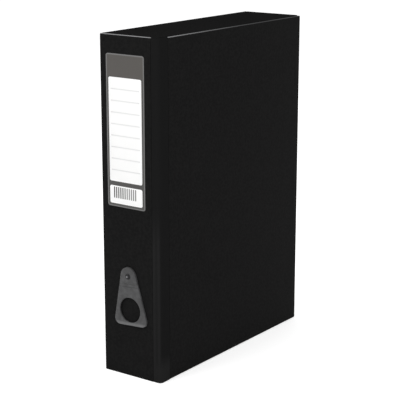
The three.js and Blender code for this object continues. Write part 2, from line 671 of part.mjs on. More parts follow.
function catchBezel() {
  const shape = roundedRectangle(BEZEL_WIDTH, BEZEL_LENGTH, BEZEL_WIDTH / 3);
  shape.holes.push(roundHole(0, 0, BUTTON_R + BUTTON_GAP, BUTTON_HOLE_SIDES));
  for (const side of [-1, 1]) {
    shape.holes.push(roundHole(0, side * CATCH_RIVET_SPACING / 2, CATCH_RIVET_R + HOLE_CLEARANCE));
  }
  const sheet = facingY(extrude(shape, BEZEL_SHEET, 5));
  return mesh('catch_bezel', sheet, STEEL, CATCH_X, FORE_Y + SEAT + BEZEL_SHEET, MIDDLE_Z);
}

// The housing is a pressed tray with flanges on the wall, open towards the lid
function catchHousing() {
  const wallY = FORE_WALL_Y - SEAT;
  const width = HOUSING_REACH + TONGUE_TIP + 2 * HOUSING_SHEET;
  const inside = HOUSING_WIDTH - 2 * HOUSING_SHEET;
  const shell = new THREE.BoxGeometry(width, HOUSING_DEPTH, HOUSING_WIDTH);
  shell.translate(-width / 2, -HOUSING_DEPTH / 2, 0);
  const hollow = new THREE.BoxGeometry(width, HOUSING_DEPTH, inside);
  hollow.translate(-width / 2 + HOUSING_SHEET, -HOUSING_DEPTH / 2 + HOUSING_SHEET, 0);
  const flangeLength = HOUSING_WIDTH + 2 * FLANGE;
  const flange = new THREE.BoxGeometry(width, HOUSING_SHEET, flangeLength);
  flange.translate(-width / 2, -HOUSING_SHEET / 2, 0);
  const rivetHoles = [-1, 1].map((side) => (
    rodAlongY(CATCH_RIVET_R + HOLE_CLEARANCE, 4 * HOUSING_SHEET, HOLE_SIDES)
      .translate(-HOUSING_REACH, 0, side * CATCH_RIVET_SPACING / 2)));
  return mesh('catch_housing', cut(join(shell, flange), hollow, ...rivetHoles), STEEL,
    housingX, wallY, MIDDLE_Z);
}

function catchSpring() {
  const housingBackY = FORE_WALL_Y - SEAT - HOUSING_DEPTH + HOUSING_SHEET;
  const startY = housingBackY + SEAT + CATCH_WIRE_R;
  const endY = headMiddleY - HEAD_THICK / 2 - SEAT - CATCH_WIRE_R;
  const curve = new SpringCurve(CATCH_SPRING_R, CATCH_SPRING_TURNS, (endY - startY) / CATCH_SPRING_TURNS);
  const coil = wire(curve, CATCH_WIRE_R, CATCH_SPRING_TURNS * TURN_STEPS, SPRING_SIDES);
  return mesh('catch_spring', coil.rotateX(-Math.PI / 2), SPRING_STEEL, CATCH_X, startY, MIDDLE_Z);
}

// The rivets go through the bezel, the wall and the housing's flange, and are clinched inside
function catchRivets() {
  const headY = FORE_Y + 2 * SEAT + BEZEL_SHEET;
  const clinchY = FORE_WALL_Y - 2 * SEAT - HOUSING_SHEET;
  const clinch = [
    [0, clinchY - headY - RIVET_HEAD_HEIGHT],
    [CATCH_RIVET_HEAD_R, clinchY - headY - RIVET_HEAD_HEIGHT],
    [CATCH_RIVET_HEAD_R, clinchY - headY],
    [CATCH_RIVET_R, clinchY - headY],
  ];
  return [-1, 1].map((side, index) => {
    const rivet = domedRivet(CATCH_RIVET_HEAD_R, RIVET_HEAD_HEIGHT, CATCH_RIVET_R, 0, clinch);
    const z = MIDDLE_Z + side * CATCH_RIVET_SPACING / 2;
    return mesh(`catch_rivet_${index + 1}`, rivet, STEEL, CATCH_X, headY, z);
  });
}

// Lid, in a group whose origin is on its hinge axis
const pivotX = LID_X + PIVOT_OUT;
const pivotY = LID_START_Y - PIVOT_BACK;
const strikeFaceX = LID_LINING_X - SEAT;
const strikeRivetPlaces = [-1, 1].map((side) => ({
  y: tongueFaceY - STRIKE_SHEET - STRIKE_BEND_R - (STRIKE_FOOT - STRIKE_BEND_R) / 2
    + side * STRIKE_RIVET_SPACING / 2,
  z: MIDDLE_Z,
}));

function lidBoard() {
  const length = FORE_Y - LID_START_Y;
  const middleY = (FORE_Y + LID_START_Y) / 2;
  const height = HEIGHT - 2 * LID_END_GAP;
  const sheet = facingX(panel(length, height, BOARD, BOARD_CORNER, EDGE_ROUND));
  const bores = strikeRivetPlaces.map(({ y, z }) => {
    const bore = rodAlongX(CLIP_RIVET_R + HOLE_CLEARANCE, 2 * (BLIND_DEPTH + HOLE_CLEARANCE));
    return bore.translate(0, y - middleY, z - MIDDLE_Z);
  });
  return mesh('lid_board', cut(sheet, ...bores), COVER, LID_INSIDE_X - pivotX, middleY - pivotY, MIDDLE_Z);
}

function lidLining() {
  const startY = LID_START_Y + LINING_MARGIN;
  const endY = FORE_Y - LINING_MARGIN;
  const height = HEIGHT - 2 * (LID_END_GAP + LINING_MARGIN);
  const middleY = (startY + endY) / 2;
  const shape = roundedRectangle(endY - startY, height, LINING);
  for (const { y, z } of strikeRivetPlaces) {
    shape.holes.push(roundHole(y - middleY, z - MIDDLE_Z, CLIP_RIVET_R + HOLE_CLEARANCE));
  }
  return mesh('lid_lining', facingX(extrude(shape, LINING)), LINING_PAPER,
    LID_LINING_X - pivotX, middleY - pivotY, MIDDLE_Z);
}

// The strike is an angle: a foot on the lid, a bend, and a tongue with the keyhole
function catchStrike() {
  const reach = strikeFaceX - CATCH_X;
  const outer = STRIKE_BEND_R + STRIKE_SHEET;
  const section = new THREE.Shape();
  section.moveTo(-TONGUE_TIP, 0);
  section.lineTo(-TONGUE_TIP, -STRIKE_SHEET);
  section.lineTo(reach - outer, -STRIKE_SHEET);
  section.absarc(reach - outer, -outer, STRIKE_BEND_R, Math.PI / 2, 0, true);
  section.lineTo(reach - STRIKE_SHEET, -STRIKE_SHEET - STRIKE_FOOT);
  section.lineTo(reach, -STRIKE_SHEET - STRIKE_FOOT);
  section.lineTo(reach, -outer);
  section.absarc(reach - outer, -outer, outer, 0, Math.PI / 2, false);
  const angle = extrude(section, STRIKE_WIDTH, 4).translate(0, 0, -STRIKE_WIDTH / 2);
  const keyhole = rodAlongY(KEYHOLE_R, 4 * STRIKE_SHEET);
  const slot = new THREE.BoxGeometry(2 * TONGUE_TIP, 4 * STRIKE_SHEET, SLOT_WIDTH);
  slot.translate(-TONGUE_TIP, 0, 0);
  const rivetHoles = strikeRivetPlaces.map(({ y }) => (
    rodAlongX(CLIP_RIVET_R + HOLE_CLEARANCE, 6 * STRIKE_SHEET).translate(reach, y - tongueFaceY, 0)));
  return mesh('catch_strike', cut(angle, keyhole, slot, ...rivetHoles), STEEL,
    CATCH_X - pivotX, tongueFaceY - pivotY, MIDDLE_Z);
}

function strikeRivets() {
  return strikeRivetPlaces.map(({ y, z }, index) => {
    const headX = strikeFaceX - STRIKE_SHEET - SEAT;
    const shank = LID_INSIDE_X + BLIND_DEPTH - headX;
    const rivet = domedRivet(CLIP_RIVET_HEAD_R, RIVET_HEAD_HEIGHT, CLIP_RIVET_R, shank);
    return mesh(`strike_rivet_${index + 1}`, rivet.rotateZ(Math.PI / 2), STEEL,
      headX - pivotX, y - pivotY, z);
  });
}

const tray = new THREE.Group();
tray.add(baseBoard(), spineBoard(), spineWall(), foreEdgeWall(), baseLining(), hingeStrip());
tray.add(endWall('tail_wall', 0), endWall('head_wall', HEIGHT - WALL));

const paperClip = new THREE.Group();
paperClip.add(clipBasePlate(), clipPin(), clipArm(), clipPressBar(), ...clipRivets());
paperClip.add(clipSpring('clip_spring_upper', 1), clipSpring('clip_spring_lower', -1));

const fastener = new THREE.Group();
fastener.add(catchButton(), catchBezel(), catchHousing(), catchSpring(), ...catchRivets());

const lid = new THREE.Group();
lid.position.set(pivotX, pivotY, 0);
lid.add(lidBoard(), lidLining(), catchStrike(), ...strikeRivets());

const boxFile = new THREE.Group();
boxFile.add(tray, spineLabel(), fingerPull(), pullFixings(), paperClip, fastener, lid);

export default boxFile;
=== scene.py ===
"""Box file for foolscap papers, dressed for rendering around its fixed frame.

The frame gives every solid at its real place, in metres: X is the thickness, Y the depth
and Z the height. Each class below builds one sub-assembly from the sizes of the frame.
"""

import logging
import math
from dataclasses import dataclass
from enum import Enum
from typing import Callable, Iterable, Sequence

import bmesh
import bpy
from bmesh.types import BMEdge, BMesh, BMVert
from bpy.types import Material, NodeSocket, Object
from mathutils import Matrix, Vector

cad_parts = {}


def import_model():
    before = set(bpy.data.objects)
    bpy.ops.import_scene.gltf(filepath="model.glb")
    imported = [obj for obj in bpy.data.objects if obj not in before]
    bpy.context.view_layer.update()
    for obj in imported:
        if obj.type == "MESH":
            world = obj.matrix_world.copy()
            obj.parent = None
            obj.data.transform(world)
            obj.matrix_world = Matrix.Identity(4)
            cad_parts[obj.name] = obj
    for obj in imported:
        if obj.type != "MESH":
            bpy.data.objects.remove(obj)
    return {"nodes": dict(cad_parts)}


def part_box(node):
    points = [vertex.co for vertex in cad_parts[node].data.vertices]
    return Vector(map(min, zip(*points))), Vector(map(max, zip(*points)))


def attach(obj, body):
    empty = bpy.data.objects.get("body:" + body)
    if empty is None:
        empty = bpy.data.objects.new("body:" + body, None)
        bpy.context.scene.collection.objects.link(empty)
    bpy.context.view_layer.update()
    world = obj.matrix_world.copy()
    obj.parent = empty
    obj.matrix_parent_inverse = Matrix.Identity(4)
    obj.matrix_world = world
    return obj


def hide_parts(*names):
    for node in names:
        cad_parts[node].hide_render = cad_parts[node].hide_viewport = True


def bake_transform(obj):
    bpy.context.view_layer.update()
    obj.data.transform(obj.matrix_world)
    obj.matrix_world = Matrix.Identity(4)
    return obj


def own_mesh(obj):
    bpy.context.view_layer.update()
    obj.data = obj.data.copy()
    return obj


LOG = logging.getLogger("box_file")
PAPER_TOOTH_PER_M = 2200.0
PAPER_SPECULAR = 0.2
PRINT_RELIEF = 0.00002
PRINT_BLUR = 0.0002
PULL_LEAN = math.radians(3.5)
PULL_DROP = 0.054
EASE_STEPS = 3
TINY = 0.000001
RGB = tuple[float, float, float]


class Body(str, Enum):
    """The bodies that the joints move."""

    CASE = "case"
    LID = "lid"
    PULL = "finger_pull"
    CLIP = "clip_arm"
    BUTTON = "catch_button"


Solids = tuple[tuple[str, Body, float], ...]


class Slot(str, Enum):
    """The record's material slots."""

    COVER = "black_cover"
    HINGE = "hinge_cloth"
    LINING = "lining_paper"
    LABEL = "label_grey"
    PANEL = "label_white"
    PLASTIC = "grey_plastic"
    STEEL = "plated_steel"
    SPRING = "spring_steel"


class Sock:
    """A shader socket on which Python arithmetic adds Math nodes."""

    def __init__(self, graph: "Graph", socket: NodeSocket) -> None:
        """Wraps an output socket.

        Args:
            graph: The graph that the socket is in.
            socket: The output socket.
        """
        self.graph = graph
        self.socket = socket

    def _math(self, operation: str, first: "Sock | float", second: "Sock | float") -> "Sock":
        """Adds a Math node.

        Args:
            operation: What the node works out.
            first: Its first operand.
            second: Its second operand.

        Returns:
            The result.
        """
        return self.graph.node("ShaderNodeMath", {"operation": operation}, {0: first, 1: second})

    def __add__(self, other: "Sock | float") -> "Sock":
        """Adds."""
        return self._math("ADD", self, other)

    def __radd__(self, other: float) -> "Sock":
        """Adds to a number."""
        return self._math("ADD", other, self)

    def __sub__(self, other: "Sock | float") -> "Sock":
        """Subtracts."""
        return self._math("SUBTRACT", self, other)

    def __rsub__(self, other: float) -> "Sock":
        """Subtracts from a number."""
        return self._math("SUBTRACT", other, self)

    def __mul__(self, other: "Sock | float") -> "Sock":
        """Multiplies."""
        return self._math("MULTIPLY", self, other)

    def __rmul__(self, other: float) -> "Sock":
        """Multiplies a number."""
        return self._math("MULTIPLY", other, self)

    def __truediv__(self, other: "Sock | float") -> "Sock":
        """Divides."""
        return self._math("DIVIDE", self, other)

    def absolute(self) -> "Sock":
        """Gives the distance from zero."""
        return self._math("ABSOLUTE", self, 0.0)

    def larger(self, other: "Sock | float") -> "Sock":
        """Gives the larger of two values."""
        return self._math("MAXIMUM", self, other)

    def smaller(self, other: "Sock | float") -> "Sock":
        """Gives the smaller of two values."""
        return self._math("MINIMUM", self, other)

    def wrap(self, period: float) -> "Sock":
        """Gives the remainder over a period.

        Args:
            period: The length after which the value repeats.

        Returns:
            The remainder, never negative for a positive value.
        """
        return self._math("MODULO", self, period)

    def step(self, low: float, high: float) -> "Sock":
        """Makes a smooth step.

        Args:
            low: The value at which the step is still 0.
            high: The value at which it has reached 1. It may be the smaller of the two.

        Returns:
            The step, from 0 to 1.
        """
        values = {0: self, 1: low, 2: high, 3: 0.0, 4: 1.0}
        if low > high:
            values = {0: self, 1: high, 2: low, 3: 1.0, 4: 0.0}
        settings = {"interpolation_type": "SMOOTHSTEP"}
        return self.graph.node("ShaderNodeMapRange", settings, values)


class Graph:
    """The node tree of one material, with its Principled shader."""

    def __init__(self, name: str) -> None:
        """Starts a material with a bare Principled shader.

        Args:
            name: The material's name.
        """
        self.material = bpy.data.materials.new(name)
        self.material.use_nodes = True
        self.tree = self.material.node_tree
        self.shader = self.tree.nodes["Principled BSDF"]

    def node(self, kind: str, settings: dict | None = None, values: dict | None = None,
             output: int | str = 0) -> Sock:
        """Adds a node.

        Args:
            kind: The node's type.
            settings: Its properties, set before its sockets.
            values: Numbers, colours or links of its input sockets.
            output: The output socket to return.

        Returns:
            The wrapped output socket.
        """
        made = self.tree.nodes.new(kind)
        for key, value in (settings or {}).items():
            setattr(made, key, value)
        for key, value in (values or {}).items():
            self.feed(made.inputs[key], value)
        return Sock(self, made.outputs[output])

    def feed(self, socket: NodeSocket, value: "Sock | float | Sequence[float]") -> None:
        """Links or sets one input socket.

        Args:
            socket: The input socket.
            value: What it is linked or set to.
        """
        if isinstance(value, Sock):
            self.tree.links.new(value.socket, socket)
        elif isinstance(value, tuple) and socket.type == "RGBA" and len(value) == 3:
            socket.default_value = (*value, 1.0)
        else:
            socket.default_value = value

    def place(self) -> tuple[Sock, Sock, Sock, Sock]:
        """Reads the object coordinates.

        Returns:
            The coordinates as a vector, then x, y and z, in metres.
        """
        vector = self.node("ShaderNodeTexCoord", output="Object")
        split = self.node("ShaderNodeSeparateXYZ", None, {"Vector": vector}).socket.node
        x, y, z = (Sock(self, output) for output in split.outputs)
        return vector, x, y, z

    def in_sight(self) -> Sock:
        """Tells the rays that show the background from those that only light the object.

        Returns:
            1 for camera, glossy and transmission rays, 0 for all others.
        """
        path = self.node("ShaderNodeLightPath").socket.node
        names = ("Is Camera Ray", "Is Glossy Ray", "Is Transmission Ray")
        seen, mirrored, through = (Sock(self, path.outputs[name]) for name in names)
        return seen.larger(mirrored).larger(through)

    def noise(self, vector: Sock, scale: float, detail: float = 2.0) -> Sock:
        """Adds a noise pattern.

        Args:
            vector: The coordinates that it reads.
            scale: Its cells per metre.
            detail: The number of finer layers.

        Returns:
            The pattern, from 0 to 1.
        """
        values = {"Vector": vector, "Scale": scale, "Detail": detail}
        return self.node("ShaderNodeTexNoise", {"noise_dimensions": "3D"}, values)

    def blend(self, mask: Sock | float, low: "Sock | RGB", high: "Sock | RGB") -> Sock:
        """Mixes two colours.

        Args:
            mask: The share of the second colour.
            low: The colour where the mask is 0.
            high: The colour where the mask is 1.

        Returns:
            The mixed colour.
        """
        settings = {"data_type": "RGBA", "blend_type": "MIX"}
        return self.node("ShaderNodeMix", settings, {0: mask, 6: low, 7: high}, output=2)

    def bump(self, height: Sock, distance: float, strength: float = 1.0) -> None:
        """Feeds a relief to the shader's normal.

        Args:
            height: The relief, from 0 to 1.
            distance: The depth of the relief in metres.
            strength: The share of it that shows.
        """
        values = {"Height": height, "Distance": distance, "Strength": strength}
        self.finish("Normal", self.node("ShaderNodeBump", None, values))

    def finish(self, socket: str, value: "Sock | float | Sequence[float]") -> None:
        """Sets or links a socket of the Principled shader.

        Args:
            socket: The socket's name.
            value: What it is linked or set to.
        """
        self.feed(self.shader.inputs[socket], value)

    def paper_skin(self, vector: Sock) -> None:
        """Gives the shader the tooth of smooth white paper.

        Args:
            vector: The object coordinates.
        """
        tooth = self.noise(vector, PAPER_TOOTH_PER_M, 2.0)
        self.finish("Roughness", 0.6 + 0.15 * (tooth - 0.5))
        self.finish("Specular IOR Level", PAPER_SPECULAR)
        self.bump(tooth, PRINT_RELIEF, 0.3)


class WorldGraph(Graph):
    """The node tree of the world, with its Background shader."""

    def __init__(self, name: str) -> None:
        """Starts a world with a bare Background shader.

        Args:
            name: The world's name.
        """
        self.world = bpy.data.worlds.new(name)
        self.world.use_nodes = True
        self.tree = self.world.node_tree
        self.shader = self.tree.nodes["Background"]


@dataclass(frozen=True)
class CoverFinish:
    """Black embossed paper that covers the boards and the walls."""

    name: str = "black_cover_paper"
    colour: RGB = (0.0088, 0.0088, 0.0089)
    worn: RGB = (0.0134, 0.0133, 0.0132)
    roughness: float = 0.52
    specular: float = 0.004
    cloud_per_m: float = 14.0
    cloud_share: float = 0.35
    grain_per_m: float = 1500.0
    emboss_depth: float = 0.00006

    def build(self) -> Material:
        """Makes the material.

        Returns:
            The material.
        """
        graph = Graph(self.name)
        vector, _, _, _ = graph.place()
        cloud = graph.noise(vector, self.cloud_per_m, 3.0)
        grain = graph.noise(vector, self.grain_per_m, 2.0)
        fibres = graph.noise(vector, self.grain_per_m / 4, 1.0)
        mottle = self.cloud_share * cloud + (1 - self.cloud_share) * fibres.step(0.3, 0.7)
        graph.finish("Base Color", graph.blend(mottle, self.colour, self.worn))
        graph.finish("Roughness", self.roughness + 0.12 * (cloud - 0.5) + 0.06 * (fibres - 0.5))
        graph.finish("Specular IOR Level", self.specular)
        graph.bump(grain + 0.6 * fibres, self.emboss_depth, 0.5)
        return graph.material


@dataclass(frozen=True)
class FoldHighlightFinish:
    """The same paper where it is folded over a board's head, with a painted highlight where the rounded
    edge would catch the light, strongest near the spine.
    """

    name: str = "black_cover_fold_highlight"
    # The weakest and strongest tones of the painted highlight.
    faint_sheen: RGB = (0.070, 0.070, 0.071)
    painted_sheen: RGB = (0.27, 0.27, 0.275)
    roughness: float = 0.5
    spine_y: float = -0.1325
    fade_start: float = -0.02
    fade_length: float = 0.17
    patches_per_m: float = 60.0

    def build(self) -> Material:
        """Makes the material.

        Returns:
            The material.
        """
        graph = Graph(self.name)
        vector, _, y, _ = graph.place()
        # Painted highlight: pale near the spine, fading along the lid as the caught light fades.
        from_spine = (y - self.spine_y).step(self.fade_length, self.fade_start)
        patchy = graph.noise(vector, self.patches_per_m, 2.0).step(0.25, 0.6)
        mask = from_spine * (0.85 + 0.15 * patchy)
        graph.finish("Base Color", graph.blend(mask, self.faint_sheen, self.painted_sheen))
        graph.finish("Roughness", self.roughness + 0.1 * patchy)
        graph.finish("Specular IOR Level", 0.0)
        return graph.material


@dataclass(frozen=True)
class HingeFinish:
    """Flexible book cloth of the lid's joint, creased along its length."""

    name: str = "black_hinge_cloth"
    colour: RGB = (0.0114, 0.0114, 0.0115)
    # The paler tone of the painted sheen on the spine side of the strip.
    spine_side_sheen: RGB = (0.0180, 0.0180, 0.0181)
    roughness: float = 0.6
    weave_per_m: float = 2400.0
    creases_per_m: float = 900.0
    crease_stretch: float = 0.05
    relief: float = 0.0001
    lid_face_x: float = 0.038
    joint_width: float = 0.010
    # Distances from the lid's face over which the painted sheen fades in past the corner.
    corner_dark: float = 0.0003
    corner_pale: float = 0.0016
    crease_place: float = 0.48
    crease_half_width: float = 0.0026
    crease_shade_share: float = 0.5
    sheen_from: float = 0.195
    sheen_to: float = 0.140
    foot_height: float = 0.034

    def build(self) -> Material:
        """Makes the material: the stretch on the spine carries a painted sheen, paler than the lid's
        stretch and strongest low down, with painted shade along a creased line in it.

        Returns:
            The material.
        """
        graph = Graph(self.name)
        vector, x, _, z = graph.place()
        stretch = {"Vector": vector, "Scale": (1.0, 1.0, self.crease_stretch)}
        long_way = graph.node("ShaderNodeMapping", None, stretch)
        creases = graph.noise(long_way, self.creases_per_m, 2.0)
        weave = graph.noise(vector, self.weave_per_m, 1.0)
        # Painted sheen: the spine side of the strip is paler, as where its bulge catches the lamp, more in
        # the lower part, with painted shade along a creased line and paler near the foot.
        to_lid = self.lid_face_x - x
        flat = to_lid.step(1.05 * self.joint_width, self.joint_width)
        round_corner = to_lid.step(self.corner_dark, self.corner_pale)
        lower = z.step(self.sheen_from, self.sheen_to)
        from_crease = (to_lid - self.crease_place * self.joint_width).absolute()
        crease_shade = from_crease.step(self.crease_half_width, 0.0)
        foot = z.step(self.foot_height, 0.4 * self.foot_height)
        painted_sheen = flat * round_corner * lower * (1 - self.crease_shade_share * crease_shade)
        mask = painted_sheen.larger(foot)
        graph.finish("Base Color", graph.blend(mask, self.colour, self.spine_side_sheen))
        graph.finish("Roughness", self.roughness + 0.15 * (creases - 0.5))
        graph.finish("Specular IOR Level", 0.0)
        graph.bump(0.7 * creases + 0.3 * weave, self.relief, 0.4)
        return graph.material


@dataclass(frozen=True)
class LabelFinish:
    """Grey printed label: a pale keyline just inside its edge, a darker ground within."""

    low: Vector
    high: Vector
    name: str = "printed_label"
    edge: RGB = (0.165, 0.164, 0.162)
    ground: RGB = (0.072, 0.070, 0.067)
    header: RGB = (0.082, 0.076, 0.070)
    header_height: float = 0.0235
    header_blur: float = 0.0003
    keyline: float = 0.0013
    speckles_per_m: float = 2600.0
    roughness: float = 0.5

    def build(self) -> Material:
        """Makes the material.

        Returns:
            The material.
        """
        graph = Graph(self.name)
        vector, x, _, z = graph.place()
        middle = (self.low + self.high) / 2
        half_x = (self.high.x - self.low.x) / 2
        half_z = (self.high.z - self.low.z) / 2
        from_side = half_x - (x - middle.x).absolute()
        from_end = half_z - (z - middle.z).absolute()
        inside = from_side.smaller(from_end).step(self.keyline * 0.7, self.keyline * 1.2)
        speckle = graph.noise(vector, self.speckles_per_m, 1.0)
        header_foot = self.high.z - self.header_height
        in_header = z.step(header_foot - self.header_blur, header_foot + self.header_blur)
        ground = graph.blend(in_header, self.ground, self.header)
        colour = graph.blend(inside, self.edge, ground)
        screened = graph.blend(0.1 * speckle, colour, self.edge)
        graph.finish("Base Color", screened)
        graph.finish("Roughness", self.roughness + 0.1 * (speckle - 0.5))
        graph.finish("Specular IOR Level", PAPER_SPECULAR)
        graph.bump(speckle, PRINT_RELIEF, 0.3)
        return graph.material


@dataclass(frozen=True)
class WritingFinish:
    """White writing panel with evenly spaced faint ruled lines that stop short of its sides."""

    low: Vector
    high: Vector
    name: str = "ruled_writing_panel"
    paper: RGB = (0.955, 0.955, 0.95)
    ink: RGB = (0.77, 0.77, 0.77)
    rows: int = 9
    line: float = 0.0009
    inset: float = 0.0024

    def build(self) -> Material:
        """Makes the material.

        Returns:
            The material.
        """
        graph = Graph(self.name)
        vector, x, _, z = graph.place()
        pitch = (self.high.z - self.low.z) / self.rows
        to_line = ((z - self.low.z + pitch / 2).wrap(pitch) - pitch / 2).absolute()
        ruled = to_line.step(self.line, self.line * 0.4)
        middle_x = (self.low.x + self.high.x) / 2
        half = (self.high.x - self.low.x) / 2
        across = (x - middle_x).absolute().step(half - self.inset, half - self.inset - PRINT_BLUR)
        bare, written = pitch * 0.5, pitch * 0.6
        ends = (z - self.low.z).step(bare, written) * (self.high.z - z).step(bare, written)
        graph.finish("Base Color", graph.blend(ruled * across * ends, self.paper, self.ink))
        graph.paper_skin(vector)
        return graph.material


@dataclass(frozen=True)
class CodeFinish:
    """White lower panel with even grey bars, dark on the left and paler on the right."""

    low: Vector
    high: Vector
    name: str = "plain_bar_panel"
    paper: RGB = (0.955, 0.955, 0.95)
    ink: RGB = (0.045, 0.044, 0.043)
    pale_ink: RGB = (0.22, 0.22, 0.22)
    bars: int = 11
    pitch: float = 0.0028
    bar: float = 0.0015
    left_margin: float = 0.0045
    top_margin: float = 0.0012
    height: float = 0.0118

    def build(self) -> Material:
        """Makes the material.

        Returns:
            The material.
        """
        graph = Graph(self.name)
        vector, x, _, z = graph.place()
        width = self.bars * self.pitch
        along = x - self.low.x - self.left_margin
        to_bar = (along.larger(0.0).wrap(self.pitch) - self.pitch / 2).absolute()
        barred = to_bar.step(self.bar / 2 + PRINT_BLUR, self.bar / 2 - PRINT_BLUR)
        edge = PRINT_BLUR / 2
        within = along.step(-edge, edge) * along.step(width + edge, width - edge)
        below_top = self.high.z - self.top_margin - z
        tall = below_top.step(0.0, PRINT_BLUR) * below_top.step(self.height + PRINT_BLUR, self.height)
        ink = graph.blend(along.step(0.4 * width, 0.6 * width), self.ink, self.pale_ink)
        graph.finish("Base Color", graph.blend(barred * within * tall, self.paper, ink))
        graph.paper_skin(vector)
        return graph.material


@dataclass(frozen=True)
class PlasticFinish:
    """Dark grey moulded plastic with a fine spark-eroded skin and a painted highlight along its foot, where
    its lower lip would catch the light.
    """

    rivet: Vector
    name: str = "grey_moulded_plastic"
    foot_fade: float = 0.005
    foot_full: float = 0.0015
    foot_highlight_share: float = 0.8
    skin_per_m: float = 3200.0
    skin_depth: float = 0.00003
    clouds_per_m: float = 160.0
    colour: RGB = (0.050, 0.050, 0.051)
    scuffed: RGB = (0.078, 0.078, 0.080)
    # The colour of the painted highlight along the foot.
    rim: RGB = (0.150, 0.150, 0.152)
    roughness: float = 0.42
    specular: float = 0.22

    def build(self) -> Material:
        """Makes the material.

        Returns:
            The material.
        """
        graph = Graph(self.name)
        vector, x, _, z = graph.place()
        skin = graph.noise(vector, self.skin_per_m, 2.0)
        cloud = graph.noise(vector, self.clouds_per_m, 3.0)
        # Painted highlight: the plate's foot is paler, as if its lower lip caught the light.
        down = (x - self.rivet.x) * math.sin(PULL_LEAN) - (z - self.rivet.z) * math.cos(PULL_LEAN)
        foot = down.step(PULL_DROP - self.foot_fade, PULL_DROP - self.foot_full)
        ground = graph.blend(cloud.step(0.35, 0.75), self.colour, self.scuffed)
        graph.finish("Base Color", graph.blend(self.foot_highlight_share * foot, ground, self.rim))
        graph.finish("Roughness", self.roughness + 0.12 * (cloud - 0.5))
        graph.finish("Specular IOR Level", self.specular)
        graph.bump(skin, self.skin_depth, 0.5)
        return graph.material


@dataclass(frozen=True)
class SteelFinish:
    """Nickel-plated steel sheet or drawn wire."""

    name: str = "nickel_plated_steel"
    colour: RGB = (0.55, 0.555, 0.565)
    dull: RGB = (0.40, 0.405, 0.41)
    roughness: float = 0.26
    clouds_per_m: float = 220.0
    scratches_per_m: float = 2600.0
    scratch_depth: float = 0.000004

    def build(self) -> Material:
        """Makes the material.

        Returns:
            The material.
        """
        graph = Graph(self.name)
        vector, _, _, _ = graph.place()
        cloud = graph.noise(vector, self.clouds_per_m, 3.0)
        scratch = graph.noise(vector, self.scratches_per_m, 1.0)
        graph.finish("Base Color", graph.blend(cloud, self.colour, self.dull))
        graph.finish("Metallic", 1.0)
        graph.finish("Roughness", self.roughness + 0.16 * (cloud - 0.5))
        graph.bump(scratch, self.scratch_depth, 0.3)
        return graph.material


@dataclass(frozen=True)
class RivetFinish:
    """Blackened rivet with a painted highlight: a pale, metallic spot on the crown of its head."""

    centre: Vector
    name: str = "blackened_rivet"
    dark: RGB = (0.020, 0.020, 0.021)
    crown_highlight: RGB = (0.17, 0.17, 0.175)
    highlight_radius: float = 0.0010
    clouds_per_m: float = 900.0
    roughness: float = 0.35
    specular: float = 0.2

    def build(self) -> Material:
        """Makes the material.

        Returns:
            The material.
        """
        graph = Graph(self.name)
        vector, x, _, z = graph.place()
        across = x - self.centre.x
        up = z - self.centre.z
        squared = (across * across + up * up) / self.highlight_radius / self.highlight_radius
        cloud = graph.noise(vector, self.clouds_per_m, 2.0)
        # Painted highlight: a pale, metallic spot on the crown where a lamp's glint would sit.
        worn = (squared + 0.5 * (cloud - 0.5)).step(1.3, 0.7)
        graph.finish("Base Color", graph.blend(worn, self.dark, self.crown_highlight))
        graph.finish("Metallic", 0.5 + 0.5 * worn)
        graph.finish("Roughness", self.roughness + 0.1 * cloud)
        graph.finish("Specular IOR Level", self.specular)
        return graph.material


@dataclass(frozen=True)
class LiningFinish:
    """Pale grey lining paper with a soft fibrous mottle."""

    name: str = "grey_lining_paper"
    pale: RGB = (0.50, 0.495, 0.48)
    dark: RGB = (0.42, 0.415, 0.40)
    mottles_per_m: float = 90.0
    fibres_per_m: float = 1700.0
    relief: float = 0.00004

    def build(self) -> Material:
        """Makes the material.

        Returns:
            The material.
        """
        graph = Graph(self.name)
        vector, _, _, _ = graph.place()
        mottle = graph.noise(vector, self.mottles_per_m, 5.0)
        fibre = graph.noise(vector, self.fibres_per_m, 2.0)
        graph.finish("Base Color", graph.blend(mottle, self.pale, self.dark))
        graph.finish("Roughness", 0.82 + 0.1 * (fibre - 0.5))
        graph.finish("Specular IOR Level", PAPER_SPECULAR)
        graph.bump(fibre, self.relief, 0.4)
        return graph.material


FRAME_OBJECTS: dict[str, Object] = {}


def corners(node: str) -> tuple[Vector, Vector]:
    """Reads a node's box at rest.

    Args:
        node: The node's name.

    Returns:
        Its lowest and its highest corner.
    """
    low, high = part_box(node)
    return Vector(low), Vector(high)


def hand_over(mesh_data: BMesh, name: str, body: Body,
              finishes: Iterable[Material], replaced: Iterable[str] = (),
              ride: bool = True) -> Object:
    """Turns a bmesh into a piece of the scene.

    Args:
        mesh_data: The finished shape, in metres in the frame. It is freed.
        name: The piece's name.
        body: The body that it moves with.
        finishes: Its materials, in slot order.
        replaced: The nodes that it stands for.
        ride: False where the piece is left without a body.

    Returns:
        The new object.
    """
    mesh = bpy.data.meshes.new(name)
    mesh_data.to_mesh(mesh)
    mesh_data.free()
    for finish in finishes:
        mesh.materials.append(finish)
    piece = bpy.data.objects.new(name, mesh)
    bpy.context.scene.collection.objects.link(piece)
    if ride:
        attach(piece, body.value)
    if replaced:
        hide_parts(*replaced)
    LOG.info("%s: %d faces on %s", name, len(mesh.polygons), body.value)
    return piece


def smooth(mesh_data: BMesh, angle: float = math.radians(35)) -> None:
    """Shades all faces smooth and keeps sharp edges hard.

    Args:
        mesh_data: The shape, which is changed.
        angle: The least angle of a hard edge.
    """
    for face in mesh_data.faces:
        face.smooth = True
    for edge in mesh_data.edges:
        edge.smooth = len(edge.link_faces) == 2 and edge.calc_face_angle(0.0) < angle


